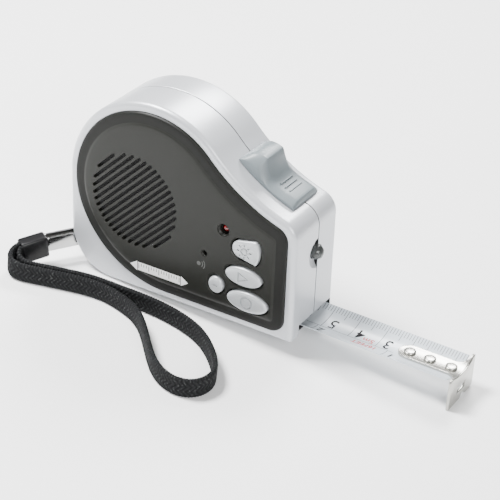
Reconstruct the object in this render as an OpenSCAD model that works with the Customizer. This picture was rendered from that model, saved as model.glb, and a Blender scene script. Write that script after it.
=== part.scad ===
// Pocket tape measure with a sound recorder, a lamp and a wrist strap.
// Millimetres, +Z up. The origin is on the table, straight under the reel axis, in the middle of the case.
// The case is drawn level in its own frame; at_rest() then leans it back on its heel and the hook's tip.

/* [Case] */
// Thickness of the silver case
case_t = 26.6; // [26:0.1:27.4]
// Radius of the round over the reel
round_r = 32.8; // [32.6:0.1:33.4]
// Height of the reel axis over the base
axis_h = 36.5; // [36.3:0.1:37]
// Distance from the reel axis to the end face
front_x = 53.9; // [53.8:0.1:54.6]
// Radius of the upper front corner
nose_r = 6.5; // [5.5:0.5:7]
// Radius of the rear lower corner
heel_r = 16; // [15.5:0.1:16.5]
// Radius of the hollow between the round and the nose
waist_r = 62; // [61:0.5:63]
// Direction in which the round turns into the hollow, in degrees over the horizontal
waist_angle = 44; // [43.5:0.1:44.5]
// Thickness of the two side walls
side_wall = 1.3; // [1.2:0.1:1.4]
// Thickness of the wall round the rim
rim_wall = 1.8; // [1.6:0.1:1.9]
// Place of the joint between the two case halves, off the middle
parting_y = 1.3; // [1:0.1:1.5]

/* [Control panel] */
// Width of the silver rim left round the dark panel
panel_rim = 2.9; // [2.8:0.1:3.2]
// Height of the panel over the case
panel_proud = 1.2; // [1:0.1:1.3]
// Radius of the panel's front corners
panel_corner_r = 5; // [4:0.5:5.5]
// Radius of the loudspeaker grille
grille_r = 16.8; // [16:0.1:17]
// Distance between the grille slots
grille_pitch = 2; // [1.9:0.05:2.2]
// Width of a grille slot
grille_slot = 1; // [0.8:0.1:1.2]
// Travel of the four buttons
button_travel = 0.6; // [0.4:0.1:0.7]

/* [Blade and hook] */
// Width of the curved blade from edge to edge
blade_w = 17.4; // [17:0.1:17.5]
// Depth of the blade's hollow
blade_sag = 2.2; // [1.8:0.1:2.4]
// Thickness of the blade with its coating
blade_th = 0.25; // [0.2:0.05:0.3]
// Blade showing between the end face and the hook's outer face
blade_out = 53.2; // [53:0.1:54]
// Downward slope of the blade against the base, in degrees
blade_dip = 1; // [0.8:0.1:1.2]
// Thickness of the hook's plate, which is also its play
hook_th = 0.9; // [0.8:0.1:1]
// Depth of the hook's tip under the base
hook_drop = 9.1; // [8.5:0.1:9.5]

/* [Strap] */
// Width of the strap's webbing
strap_w = 7; // [6:0.5:8]
// Thickness of the strap's webbing
strap_t = 1.8; // [1.5:0.1:2]

/* [Hidden] */
gap = 0.15;
eps = 0.05;

// Faces across the thickness, from the panel side to the far side
near_y = -case_t / 2;
far_y = case_t / 2;
near_in = near_y + side_wall;
far_in = far_y - side_wall;
panel_y = near_y - panel_proud;
panel_skin = 1.3;
panel_back = near_in + 0.8;
cap_y = panel_y - 1;
flange_y = panel_y + panel_skin + 0.2;
flange_t = 0.6;
stem_end = near_in + 0.4;
mat_y = stem_end + button_travel + 0.1;
mat_t = 0.6;
board_y = mat_y + mat_t + 1.3;
board_t = 0.8;
divider_y = -6.9;
divider_t = 0.7;

// Centres of the arcs of the outline, in the XZ plane
reel_c = [0, axis_h];
waist_c = reel_c + (round_r + waist_r) * [cos(waist_angle), sin(waist_angle)];
heel_c = [heel_r - round_r, heel_r];
toe_r = 1.2;
arc_step = 4;

// Blade, in a frame at the end face whose X runs out along the blade
blade_y = 3;
blade_z = 0.75;
blade_in = -19;
blade_reach = 52;
blade_spare = 14;
blade_r = (blade_w * blade_w / 4 + blade_sag * blade_sag) / (2 * blade_sag);
tongue_l = 22.6;
tongue_w = 7.6;
rivet_r = 1.1;
rivet_head_r = 1.9;
rivet_x = [blade_out - 18.8, blade_out - 11.7, blade_out - 4.2];

// Reel
coil_r = 28;
drum_r = 20.5;
drum_wall = 1.5;
drum_near = -5.8;
spindle_r = 3;
run_gap = 0.05;

// Lean of the whole object: the heel and the tip of the hook both touch the table
tip = [front_x + blade_out, -hook_drop];
to_heel = tip - heel_c;
lean = atan2(-to_heel[1], to_heel[0]) - asin(heel_r / norm(to_heel));
lift = heel_r - heel_c[0] * sin(lean) - heel_r * cos(lean);

// Screws, from the far side into the near half
screw_at = [heel_c + heel_r * [-0.394, -0.608], [49.7, 35.2], [49.6, 8.8]];
boss_r = 2.9;
screw_hole_r = 1.12;
screw_clear_r = 1.25;
screw_head_r = 2;

// Pieces on the panel side
speaker_at = [-6, 33.9];
led_at = [28.3, 34.4];
mic_at = [21.4, 23.6];
play_at = [36.3, 19.8];
record_at = [38, 11];
message_at = [26.1, 13.6];
light_at = [37.2, 29.7];
lamp_z = 27.3;
lamp_r = 2.5;
cell_at = [34, 13];
cell_r = 5.8;
cell_t = 3.1;

// Lock button, set out by angles round the waist's centre; it slides back along the hollow to free the blade
lock_a0 = 229.2;
lock_a1 = 251.2;
lock_stem_a0 = 235.5;
lock_stem_a1 = 248.4;
lock_y = 1.5;
lock_half = 7.6;
lock_travel = 4;

// Strap ring, turned to the near side round its pin
ring_at = [-28, -2];
ring_z = 9.6;
ring_h = 5.2;
ring_turn = 58;
ring_l = 19.9;
ring_r = 1.85;
ring_band = 0.7;
pin_r = 1;

// Strap route on the table: round numbers, half way up the webbing that stands on its edge
strap_route = [
    [-40.9, -21.2, 7.7], [-42.5, -23.8, 7.3], [-44.2, -26.6, 6.8], [-45.3, -29.4, 5.8], [-44.8, -32, 4.8],
    [-42.4, -33.8, 4], [-38.8, -33.7, 3.6], [-34.6, -32.3, 3.5], [-30, -30.7, 3.5], [-25, -29, 3.5],
    [-20, -27.4, 3.5], [-15, -26.2, 3.5], [-10, -25.8, 3.5], [-5, -26.4, 3.5], [0, -27.6, 3.5],
    [4, -29.2, 3.5], [8, -31.8, 3.5], [12, -35.4, 3.5], [16, -39.6, 3.5], [20, -43.8, 3.5],
    [24, -47.6, 3.5], [28, -50.4, 3.5], [32, -52, 3.5], [36, -52.4, 3.5], [39.8, -51, 3.5],
    [42.2, -48, 3.5], [43, -44, 3.5], [42, -40, 3.5], [39.4, -36, 3.5], [36, -32.4, 3.5],
    [32, -29, 3.5], [28, -26.4, 3.5], [24, -24.6, 3.5], [19, -23.2, 3.5], [14, -22.4, 3.5],
    [9, -22, 3.5], [4, -22, 3.5], [-1, -22.3, 3.5], [-6, -22.8, 3.5], [-11, -23.2, 3.5],
    [-16, -23.8, 3.5], [-21, -25, 3.5], [-26, -26.7, 3.5], [-31, -28.4, 3.5], [-35.4, -29.9, 3.5],
    [-39, -31, 3.7], [-41.6, -30.8, 4.4], [-43, -29.2, 5.6], [-42.6, -27.6, 6.6], [-40.9, -24.8, 7.2],
    [-39.2, -22.2, 7.7]];

// ---- outlines ---------------------------------------------------------------------------------

function polar(r, a) = r * [cos(a), sin(a)];

function arc(c, r, a0, a1, step = arc_step) =
    let (n = max(2, ceil(abs(a1 - a0) / step)))
    [for (i = [0 : n]) c + polar(r, a0 + (a1 - a0) * i / n)];

// Centre of a corner of radius r at x that meets the hollow of the waist
function corner_c(x, r, hollow) = [x, waist_c[1] - sqrt(pow(hollow + r, 2) - pow(waist_c[0] - x, 2))];

function angle_to(a, b) = atan2(b[1] - a[1], b[0] - a[0]);

// Case outline, moved in by d
function case_outline(d) =
    let (nose_c = corner_c(front_x - nose_r, nose_r, waist_r), toe = max(toe_r - d, 0.2),
         turn = angle_to(nose_c, waist_c))
    concat(arc(heel_c, heel_r - d, 180, 270), arc([front_x - d - toe, d + toe], toe, 270, 360, 30),
           arc(nose_c, nose_r - d, 0, turn), arc(waist_c, waist_r + d, turn + 180, waist_angle + 180, 2),
           arc(reel_c, round_r - d, waist_angle, 180));

// Panel outline, moved in by d
function panel_outline(d) =
    let (r = round_r - panel_rim, cr = panel_corner_r, x = front_x - panel_rim - cr, big = 36,
         hollow = waist_r + panel_rim, top_c = corner_c(x, cr, hollow), turn = angle_to(top_c, waist_c),
         dz = panel_rim + big - axis_h, low_c = [sqrt(pow(big - r, 2) - dz * dz), panel_rim + big],
         low_a = angle_to(low_c, reel_c) + 360)
    concat(arc(reel_c, r - d, 180, low_a), arc(low_c, big - d, low_a, 270),
           arc([x, panel_rim + cr], cr - d, 270, 360, 10), arc(top_c, cr - d, 0, turn, 10),
           arc(waist_c, hollow + d, turn + 180, waist_angle + 180, 2), arc(reel_c, r - d, waist_angle, 176));

function oval(c, a, b, n = 40) = [for (i = [0 : n - 1]) c + [a * cos(360 * i / n), b * sin(360 * i / n)]];

// Rounded triangle of the light button: a blunt left end and a bowed right side
function light_outline(d) =
    let (c = light_at)
    concat(arc(c + [-2.2, 0], 3.1 - d, 100, 262, 12), arc(c + [3.3, -3.5], 0.6 - d / 2, 270, 340, 30),
           arc(c + [-4.3, 0.3], 9 - d, -23, 23, 10), arc(c + [3.2, 3.8], 0.6 - d / 2, 20, 100, 30));

function sector(c, r0, r1, a0, a1) = concat(arc(c, r1, a0, a1, 2), arc(c, r0, a1, a0, 2));

// Cross-section of a curved strip of width w and thickness t, whose middle rests z over the belly
function strip_section(w, t, z) =
    let (r = blade_r - z, a = asin(w / 2 / blade_r))
    concat(arc([0, blade_r], r, 270 - a, 270 + a, 3), arc([0, blade_r], r - t, 270 + a, 270 - a, 3));

// ---- placing ----------------------------------------------------------------------------------

module at_rest() {
    translate([0, 0, lift]) rotate([0, -lean, 0]) children();
}

// An outline drawn in XZ, as a slab from y0 to y1
module slab(y0, y1) {
    translate([0, y1, 0]) rotate([90, 0, 0]) linear_extrude(y1 - y0) children();
}

// A round bar along Y
module bar(at, r, y0, y1) {
    translate([at[0], y1, at[1]]) rotate([90, 0, 0]) cylinder(h = y1 - y0, r = r, $fn = 48);
}

module along_blade() {
    translate([front_x, blade_y, blade_z]) rotate([0, blade_dip, 0]) children();
}

// A section drawn in YZ, as a strip from x0 to x1
module strip(x0, x1) {
    translate([x0, 0, 0]) rotate([90, 0, 90]) linear_extrude(x1 - x0) children();
}

// ---- case -------------------------------------------------------------------------------------

module case_cuts() {
    // mouth of the blade, open below, and its channel in the floor
    translate([front_x - rim_wall - 0.1, blade_y - blade_w / 2 - 2.5, -1]) cube([9, 20.5, 5.7]);
    along_blade() translate([-74, -blade_w / 2 - 0.4, -gap]) cube([80, blade_w + 0.9, 3]);
    // seat of the lamp
    translate([front_x - 9, parting_y, lamp_z])
        rotate([0, 90, 0]) cylinder(h = 12, r = lamp_r + gap, $fn = 48);
    // slot of the lock button's stem
    slab(lock_y - lock_half + 1.6, lock_y + lock_half - 1.6)
        polygon(sector(waist_c, waist_r - 2, waist_r + 4, lock_stem_a0 - lock_travel - 0.3,
                       lock_stem_a1 + 0.2));
}

module rear_case() {
    color("gainsboro") at_rest() difference() {
        union() {
            difference() {
                slab(parting_y, far_y) polygon(case_outline(0));
                slab(parting_y - 1, far_in) polygon(case_outline(rim_wall));
                case_cuts();
            }
            for (p = screw_at) bar(p, boss_r, parting_y, far_in);
        }
        for (p = screw_at) {
            bar(p, screw_clear_r, 0, far_y + 1);
            bar(p, screw_head_r + gap, far_y - 1.8, far_y + 1);
        }
        bar(cell_at, cell_r + 0.6, far_in - 1, far_y + 1);
    }
}

module front_case() {
    color("gainsboro") at_rest() difference() {
        union() {
            difference() {
                slab(near_y, parting_y) polygon(case_outline(0));
                slab(near_in, parting_y + 1) polygon(case_outline(rim_wall));
                case_cuts();
                // shallow dish beside the lamp
                translate([front_x - 1.2, parting_y, lamp_z])
                    rotate([0, 90, 0]) cylinder(h = 1.3, r1 = lamp_r + 0.4, r2 = 5.4, $fn = 48);
            }
            for (p = screw_at) bar(p, boss_r, near_in, parting_y);
            // block that holds the strap's pin
            intersection() {
                translate([-33, near_in, ring_z - 4.5]) cube([8, 13.2, 9]);
                slab(near_in, parting_y - 0.1) polygon(case_outline(0.6));
            }
        }
        slab(near_y - 1, near_in + eps) polygon(panel_outline(-0.08));
        for (p = screw_at) bar(p, screw_hole_r, near_in + 4, parting_y + 1);
        translate([-40, near_in - 0.5, ring_z - ring_h / 2 - 0.3]) cube([14.2, 12.8, ring_h + 0.6]);
        translate([ring_at[0], ring_at[1], ring_z - 3.8]) cylinder(h = 7.6, r = pin_r + 0.05, $fn = 32);
    }
}

module case_screws() {
    color("silver") at_rest() for (p = screw_at) difference() {
        union() {
            bar(p, screw_head_r, far_y - 1.7, far_y - 0.3);
            bar(p, screw_hole_r - 0.04, near_in + 5, far_y - 1.7);
        }
        for (turn = [0, 90]) translate([p[0], far_y, p[1]])
            rotate([0, turn, 0]) cube([2.6, 2, 0.6], center = true);
    }
}

module reel_divider() {
    color("whitesmoke") at_rest() difference() {
        slab(divider_y, divider_y + divider_t) polygon(case_outline(rim_wall + 0.2));
        for (p = screw_at) bar(p, boss_r + 0.3, -10, 0);
        // clear of the mouth, the lamp, the lock and the block of the strap's pin
        translate([front_x - 5, -10, -1]) cube([9, 10, 8]);
        translate([front_x - 12, -10, lamp_z - 3.5]) cube([14, 10, 7]);
        slab(-10, 0) polygon(sector(waist_c, waist_r - 1, waist_r + 6, 224, 258));
        translate([-40, -10, ring_z - 5]) cube([15.4, 10, 10]);
    }
}

// ---- control panel ----------------------------------------------------------------------------

module grille_slots() {
    n = floor(grille_r / grille_pitch);
    for (i = [-n : n]) {
        half = sqrt(pow(grille_r, 2) - pow(i * grille_pitch, 2)) - grille_slot;
        translate([speaker_at[0], 0, speaker_at[1]]) rotate([0, -44, 0])
            translate([-half, -30, i * grille_pitch - grille_slot / 2]) cube([2 * half, 20, grille_slot]);
    }
}

module front_panel() {
    color("dimgray") at_rest() difference() {
        union() {
            slab(panel_y, near_in) polygon(panel_outline(0));
            slab(near_in, panel_back) intersection() {
                polygon(panel_outline(-0.9));
                polygon(case_outline(rim_wall + 0.1));
            }
        }
        slab(panel_y + panel_skin, panel_back + 1) polygon(panel_outline(1.4));
        grille_slots();
        bar(led_at, 2.1, -30, 0);
        bar(mic_at, 1.15, -30, 0);
        slab(-30, 0) polygon(light_outline(-gap));
        slab(-30, 0) polygon(oval(play_at, 6.7 + gap, 3.3 + gap));
        slab(-30, 0) polygon(oval(record_at, 7.5 + gap, 3.6 + gap));
        slab(-30, 0) polygon(oval(message_at, 2.7 + gap, 3 + gap));
        for (p = screw_at) bar(p, boss_r + 0.1, near_in, 0);
    }
}

// A button: its cap through the panel, a flange behind the skin, and a stem to the mat
module oval_button(c, a, b) {
    slab(cap_y, flange_y) polygon(oval(c, a, b));
    slab(flange_y, flange_y + flange_t) polygon(oval(c, a + 0.5, b + 0.4));
    bar(c, 1.6, flange_y + flange_t, stem_end);
}

module light_button() {
    color("lightgray") at_rest() {
        slab(cap_y, flange_y) polygon(light_outline(0));
        slab(flange_y, flange_y + flange_t) polygon(light_outline(-0.5));
        bar(light_at, 1.6, flange_y + flange_t, stem_end);
    }
}

module play_button() {
    color("lightgray") at_rest() oval_button(play_at, 6.7, 3.3);
}

module record_button() {
    color("lightgray") at_rest() oval_button(record_at, 7.5, 3.6);
}

module message_button() {
    color("lightgray") at_rest() oval_button(message_at, 2.7, 3);
}

module button_mat() {
    color("darkgray") at_rest() difference() {
        translate([22, mat_y, 6]) cube([23, mat_t, 28]);
        bar(led_at, 2, -30, 0);
        bar(mic_at, 2.5, -30, 0);
    }
}

module tact_switches() {
    color("black") at_rest() for (p = [light_at, play_at, record_at, message_at]) {
        translate([p[0] - 2, board_y - 0.8, p[1] - 2]) cube([4, 0.8, 4]);
        bar(p, 1, board_y - 1.2, board_y - 0.8);
    }
}

module circuit_board() {
    color("darkgreen") at_rest() difference() {
        translate([14, board_y, 4]) cube([31.6, board_t, 35]);
        for (p = screw_at) bar(p, boss_r + 0.3, -30, 0);
        for (x = [17, 43]) bar([x, 36], 0.9, -30, 0);
    }
}

module board_chips() {
    color("black") at_rest() {
        for (p = [[20, 28, 8, 6], [30, 26, 5, 5], [19, 16, 4, 6], [28, 18, 3, 2], [28, 22, 3, 2]])
            translate([p[0], board_y + board_t, p[1]]) cube([p[2], 0.8, p[3]]);
    }
}

module microphone() {
    color("silver") at_rest() bar(mic_at, 2.1, board_y - 3.6, board_y);
}

module record_led() {
    color("darkred") at_rest() {
        bar(led_at, 1.5, panel_y + 2.2, board_y);
        translate([led_at[0], panel_y + 2.2, led_at[1]]) sphere(r = 1.5, $fn = 32);
    }
}

module lamp_led() {
    color("lightcyan") at_rest() translate([0, parting_y, lamp_z]) {
        translate([front_x - 6.2, 0, 0]) rotate([0, 90, 0]) cylinder(h = 5.8, r = lamp_r, $fn = 48);
        translate([front_x - 0.4, 0, 0]) sphere(r = lamp_r, $fn = 48);
        for (y = [-1.3, 1.3]) translate([front_x - 9, y, 0])
            rotate([0, 90, 0]) cylinder(h = 2.8, r = 0.3, $fn = 16);
    }
}

// ---- loudspeaker ------------------------------------------------------------------------------

module speaker_gauze() {
    color("black") at_rest() bar(speaker_at, 17.4, panel_y + panel_skin, panel_y + panel_skin + 0.2);
}

module speaker_frame() {
    color("gray") at_rest() difference() {
        union() {
            bar(speaker_at, 17, panel_y + panel_skin + 0.2, panel_y + panel_skin + 1.6);
            bar(speaker_at, 13.5, panel_y + panel_skin + 1.6, board_y - 0.6);
        }
        bar(speaker_at, 15.6, -30, panel_y + panel_skin + 1.2);
        bar(speaker_at, 12.5, -30, board_y - 1.4);
        bar(speaker_at, 7.6, -30, 0);
    }
}

module speaker_cone() {
    color("black") at_rest() translate([speaker_at[0], panel_y + panel_skin + 0.7, speaker_at[1]])
        rotate([-90, 0, 0]) rotate_extrude($fn = 64)
            polygon([[0, 0.2], [5, 0.2], [12.2, 0], [15.2, 0.1], [15.2, 0.35], [12.2, 0.3], [5.6, 0.9],
                     [5.6, 2], [5, 2], [5, 0.5], [0, 0.5]]);
}

module speaker_magnet() {
    color("silver") at_rest() difference() {
        bar(speaker_at, 7.5, board_y - 1.8, divider_y - 0.2);
        bar(speaker_at, 6, board_y - 2, board_y - 0.4);
    }
}

// A thin lead that runs square from point to point
module lead(points, w = 0.8) {
    for (i = [0 : len(points) - 2]) {
        a = points[i];
        b = points[i + 1];
        low = [for (k = [0 : 2]) min(a[k], b[k]) - w / 2];
        translate(low) cube([for (k = [0 : 2]) abs(b[k] - a[k]) + w]);
    }
}

module speaker_leads() {
    y = board_y + board_t + 0.6;
    color("firebrick") at_rest() for (z = [20, 23.4])
        lead([[2.4, y, z], [12, y, z], [12, y, z - 2], [16.2, y, z - 2]]);
}

module lamp_leads() {
    x = front_x - 9.5;
    color("firebrick") at_rest() for (s = [-1, 1])
        lead([[x, parting_y + 1.3 * s, lamp_z], [x, parting_y + 1.3 * s, lamp_z + 2 * s],
              [x, board_y + board_t + 0.4, lamp_z + 2 * s]]);
}

// ---- batteries --------------------------------------------------------------------------------

module battery_holder() {
    color("gainsboro") at_rest() difference() {
        bar(cell_at, cell_r + 0.75, far_in - 11.2, far_in);
        bar(cell_at, cell_r + gap, far_in - 10.4, far_in + 1);
    }
}

module button_cells() {
    color("silver") at_rest() for (i = [0 : 2]) {
        bar(cell_at, cell_r, far_in - 0.1 - (i + 1) * cell_t + 0.05, far_in - 0.1 - i * cell_t);
    }
}

module battery_spring() {
    color("goldenrod") at_rest() translate([cell_at[0], far_in - 10.4, cell_at[1]]) rotate([-90, 0, 0])
        rotate_extrude($fn = 48) polygon([[1, 0], [4.5, 0], [4.5, 0.25], [2.4, 0.8], [1, 0.8]]);
}

module battery_door() {
    color("gainsboro") at_rest() difference() {
        bar(cell_at, cell_r + 0.45, far_in + 0.05, far_y);
        translate([cell_at[0], far_y, cell_at[1]]) cube([8, 1.2, 1.4], center = true);
    }
}

// ---- reel -------------------------------------------------------------------------------------

module spindle() {
    color("silver") at_rest() difference() {
        bar(reel_c, spindle_r, divider_y + divider_t, far_in);
        translate([-0.4, -3, axis_h]) cube([0.8, 20, 8]);
    }
}

module reel_drum() {
    color("white") at_rest() difference() {
        union() {
            bar(reel_c, drum_r, drum_near, far_in - 0.3);
        }
        bar(reel_c, drum_r - drum_wall, drum_near + 1.2, far_in);
        bar(reel_c, spindle_r + run_gap, -20, 20);
        for (a = [0 : 60 : 300]) bar(reel_c + polar(12, a), 3, -20, 20);
    }
}

// A flat spring wound loosely round the spindle
module mainspring() {
    turns = 7;
    steps = 20;
    r0 = 4.2;
    r1 = 18.4;
    thick = 0.5;
    path = [for (i = [0 : turns * steps]) [r0 + (r1 - r0) * i / (turns * steps), 360 * i / steps]];
    outer = [for (p = path) polar(p[0] + thick, p[1])];
    inner = [for (i = [turns * steps : -1 : 0]) polar(path[i][0], path[i][1])];
    color("slategray") at_rest() translate([0, 0, axis_h]) slab(drum_near + 1.6, far_in - 1)
        polygon(concat(outer, inner));
}

module blade_coil() {
    color("white") at_rest() difference() {
        bar(reel_c, coil_r, drum_near + 0.1, far_in - 0.3);
        bar(reel_c, drum_r + 0.1, -20, 20);
    }
}

// ---- blade and hook ---------------------------------------------------------------------------

module blade_strip() {
    color("white") at_rest() along_blade() difference() {
        strip(blade_in, blade_out - 2 * hook_th - 0.1) polygon(strip_section(blade_w, blade_th, 0));
        for (x = rivet_x) translate([x, 0, -1]) cylinder(h = 3, r = rivet_r + 0.02, $fn = 32);
    }
}

module end_hook() {
    z0 = blade_th + 0.05;
    tip_z = -hook_drop - blade_z + blade_out * sin(blade_dip);
    color("silver") at_rest() along_blade() difference() {
        union() {
            // tongue with a round end, on the blade's hollow side
            intersection() {
                strip(blade_out - tongue_l, blade_out)
                    polygon(strip_section(blade_w - 0.6, hook_th - 0.1, z0));
                union() {
                    translate([blade_out - tongue_l + tongue_w / 2, 0, -5])
                        cylinder(h = 20, r = tongue_w / 2, $fn = 48);
                    translate([blade_out - tongue_l + tongue_w / 2, -tongue_w / 2, -5])
                        cube([tongue_l, tongue_w, 20]);
                    translate([blade_out - hook_th, -blade_w / 2, -5]) cube([hook_th, blade_w, 20]);
                }
            }
            // plate, with a nick between its two feet
            strip(blade_out - hook_th, blade_out) polygon([
                [-blade_w / 2, tip_z], [0, tip_z], [1, tip_z + 1.5], [2.6, tip_z + 1.5], [3.4, tip_z],
                [blade_w / 2 - 1, tip_z], [blade_w / 2, tip_z + 1.2], [blade_w / 2, blade_sag + 0.9],
                [blade_w / 2 - 3, blade_sag - 0.2], [3, z0 + 0.5], [-3, z0 + 0.5],
                [-blade_w / 2 + 2, blade_sag - 1], [-blade_w / 2, 1]]);
        }
        for (x = rivet_x) {
            for (dx = [0, hook_th]) translate([x + dx, 0, -1]) cylinder(h = 4, r = rivet_r + 0.1, $fn = 32);
            translate([x, -rivet_r - 0.1, -1]) cube([hook_th, 2 * rivet_r + 0.2, 4]);
        }
        strip(blade_out - 3, blade_out + 3)
            polygon([[-3.2, tip_z + 3.4], [2.6, tip_z + 3.4], [3.2, tip_z + 5.4], [-2.6, tip_z + 5.4]]);
    }
}

module hook_rivets() {
    top = blade_th + hook_th + 0.1;
    color("gainsboro") at_rest() along_blade() for (x = rivet_x) {
        translate([x, 0, 0]) cylinder(h = top + 0.3, r = rivet_r, $fn = 32);
        translate([x, 0, top]) cylinder(h = 0.8, r1 = rivet_head_r, r2 = 1.4, $fn = 32);
    }
}

// ---- lock -------------------------------------------------------------------------------------

function on_waist(h, a) = waist_c + polar(waist_r - h, a);

module lock_button() {
    cap = concat([on_waist(-1, lock_a1), on_waist(-1, lock_a0)],
                 [on_waist(1.4, lock_a0 - 0.1), on_waist(4.2, lock_a0 + 1), on_waist(5.6, lock_a0 + 2.4),
                  on_waist(6.8, lock_a0 + 5), on_waist(6.6, lock_a0 + 6), on_waist(2.3, lock_a0 + 11.5),
                  on_waist(2.1, lock_a0 + 13), on_waist(2.6, lock_a1 - 1.8), on_waist(2.1, lock_a1 - 0.6),
                  on_waist(1, lock_a1)]);
    color("slategray") at_rest() {
        intersection() {
            slab(lock_y - lock_half, lock_y + lock_half) polygon(cap);
            bar(waist_c, waist_r - 0.25, lock_y - 10, lock_y + 10);
        }
        slab(lock_y - lock_half + 1.9, lock_y + lock_half - 1.9)
            polygon(sector(waist_c, waist_r - 0.5, waist_r + rim_wall + 1.4, lock_stem_a0, lock_stem_a1));
        slab(lock_y - lock_half + 0.6, lock_y + lock_half - 0.6)
            polygon(sector(waist_c, waist_r + rim_wall + 0.3, waist_r + rim_wall + 1.4, 226.8, 249.4));
    }
}

module brake_arm() {
    color("gray") at_rest() {
        translate([41, -3, 5.1]) cube([2, 12, 36.2]);
        translate([38.6, -3, 4.9]) cube([7, 12, 1]);
    }
}

module brake_pad() {
    color("black") at_rest() translate([38.8, -3, 3.8]) cube([6.6, 12, 1.1]);
}

// ---- strap ------------------------------------------------------------------------------------

module strap_pin() {
    color("silver") at_rest() translate([ring_at[0], ring_at[1], ring_z - 3.7])
        cylinder(h = 7.4, r = pin_r, $fn = 32);
}

module ring_frame() {
    translate([ring_at[0], ring_at[1], ring_z]) rotate([0, 0, 180 + ring_turn]) children();
}

module long_hole(l, r, h) {
    for (x = [0, l]) translate([x, 0, 0]) cylinder(h = h, r = r, center = true, $fn = 48);
    translate([l / 2, 0, 0]) cube([l, 2 * r, h], center = true);
}

module strap_ring() {
    color("silver") at_rest() ring_frame() difference() {
        long_hole(ring_l, ring_r, ring_h);
        long_hole(ring_l, ring_r - ring_band, ring_h + 2);
    }
}

// A moulded sleeve that grips the ring's end and both ends of the webbing
module strap_keeper() {
    color("black") translate([-41.4, -23.8, 7.3]) rotate([0, 9, 238]) difference() {
        cube([9, 4.9, 8], center = true);
        translate([1.2, 0, 0]) cube([8, 3.8, 7.2], center = true);
    }
}

// The webbing stands on its edge along the route
module wrist_strap() {
    n = len(strap_route);
    sides = 8;
    section = [[-0.5, -0.42], [-0.5, 0.42], [-0.3, 0.5], [0.3, 0.5], [0.5, 0.42], [0.5, -0.42], [0.3, -0.5],
               [-0.3, -0.5]];
    points = [for (i = [0 : n - 1])
        let (a = strap_route[max(i - 1, 0)], b = strap_route[min(i + 1, n - 1)], d = b - a,
             side = [d[1], -d[0], 0] / norm([d[0], d[1]]))
        for (s = section) strap_route[i] + side * strap_t * s[0] + [0, 0, strap_w * s[1]]];
    walls = [for (i = [0 : n - 2], k = [0 : sides - 1])
        let (a = i * sides, b = a + sides, next = (k + 1) % sides) [a + k, a + next, b + next, b + k]];
    first = [for (k = [sides - 1 : -1 : 0]) k];
    last = [for (k = [0 : sides - 1]) (n - 1) * sides + k];
    color("black") polyhedron(points = points, faces = concat(walls, [first, last]));
}

rear_case();
front_case();
front_panel();
light_button();
play_button();
record_button();
message_button();
button_mat();
tact_switches();
circuit_board();
board_chips();
microphone();
record_led();
lamp_led();
speaker_gauze();
speaker_frame();
speaker_cone();
speaker_magnet();
speaker_leads();
lamp_leads();
battery_holder();
button_cells();
battery_spring();
battery_door();
reel_divider();
spindle();
reel_drum();
mainspring();
blade_coil();
blade_strip();
end_hook();
hook_rivets();
lock_button();
brake_arm();
brake_pad();
case_screws();
strap_pin();
strap_ring();
strap_keeper();
wrist_strap();
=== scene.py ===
import math

import bmesh
import bpy
import numpy as np
from mathutils import Matrix, Vector


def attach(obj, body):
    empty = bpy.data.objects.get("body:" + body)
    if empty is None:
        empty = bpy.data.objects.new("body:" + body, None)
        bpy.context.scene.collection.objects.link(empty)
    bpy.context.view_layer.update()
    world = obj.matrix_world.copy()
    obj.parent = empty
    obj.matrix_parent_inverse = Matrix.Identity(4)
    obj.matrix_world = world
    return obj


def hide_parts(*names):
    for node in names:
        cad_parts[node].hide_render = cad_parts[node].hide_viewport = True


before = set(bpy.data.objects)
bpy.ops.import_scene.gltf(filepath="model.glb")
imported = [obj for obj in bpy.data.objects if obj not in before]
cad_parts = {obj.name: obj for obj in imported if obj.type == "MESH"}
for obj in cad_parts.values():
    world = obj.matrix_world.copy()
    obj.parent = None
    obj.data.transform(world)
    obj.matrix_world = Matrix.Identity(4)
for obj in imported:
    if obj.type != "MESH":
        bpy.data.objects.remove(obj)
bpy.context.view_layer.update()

MM = 0.001

# The case leans back on its heel and the hook's tip. Shapes are drawn level, in millimetres, and then seated.
HEEL_R, ROUND_R, AXIS_H, FRONT_X = 16.0, 32.8, 36.5, 53.9
NOSE_R, WAIST_R, WAIST_ANGLE, TOE_R = 6.5, 62.0, 44.0, 1.2
BLADE_OUT, HOOK_DROP = 53.2, 9.1
HEEL_C = np.array([HEEL_R - ROUND_R, HEEL_R])
REEL_C = np.array([0.0, AXIS_H])
tip_x, tip_z = FRONT_X + BLADE_OUT - HEEL_C[0], -HOOK_DROP - HEEL_R
LEAN = math.atan2(-tip_z, tip_x) - math.asin(HEEL_R / math.hypot(tip_x, tip_z))
LIFT = HEEL_R - HEEL_C[0] * math.sin(LEAN) - HEEL_R * math.cos(LEAN)
SEAT = Matrix.Translation((0, 0, LIFT)) @ Matrix.Rotation(-LEAN, 4, "Y")


def unit(angle):
    """The unit vector at that angle, in degrees."""
    return np.array([math.cos(math.radians(angle)), math.sin(math.radians(angle))])


WAIST_C = REEL_C + (ROUND_R + WAIST_R) * unit(WAIST_ANGLE)

# ---- camera -----------------------------------------------------------------------------------

CAM_AT = (249.18, -413.4, 323.39)
SENSOR_W, LENS = 36, 122.98
CAM_AZ, CAM_EL, CAM_ROLL = math.radians(30.38), math.radians(30.53), math.radians(2.37)


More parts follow.
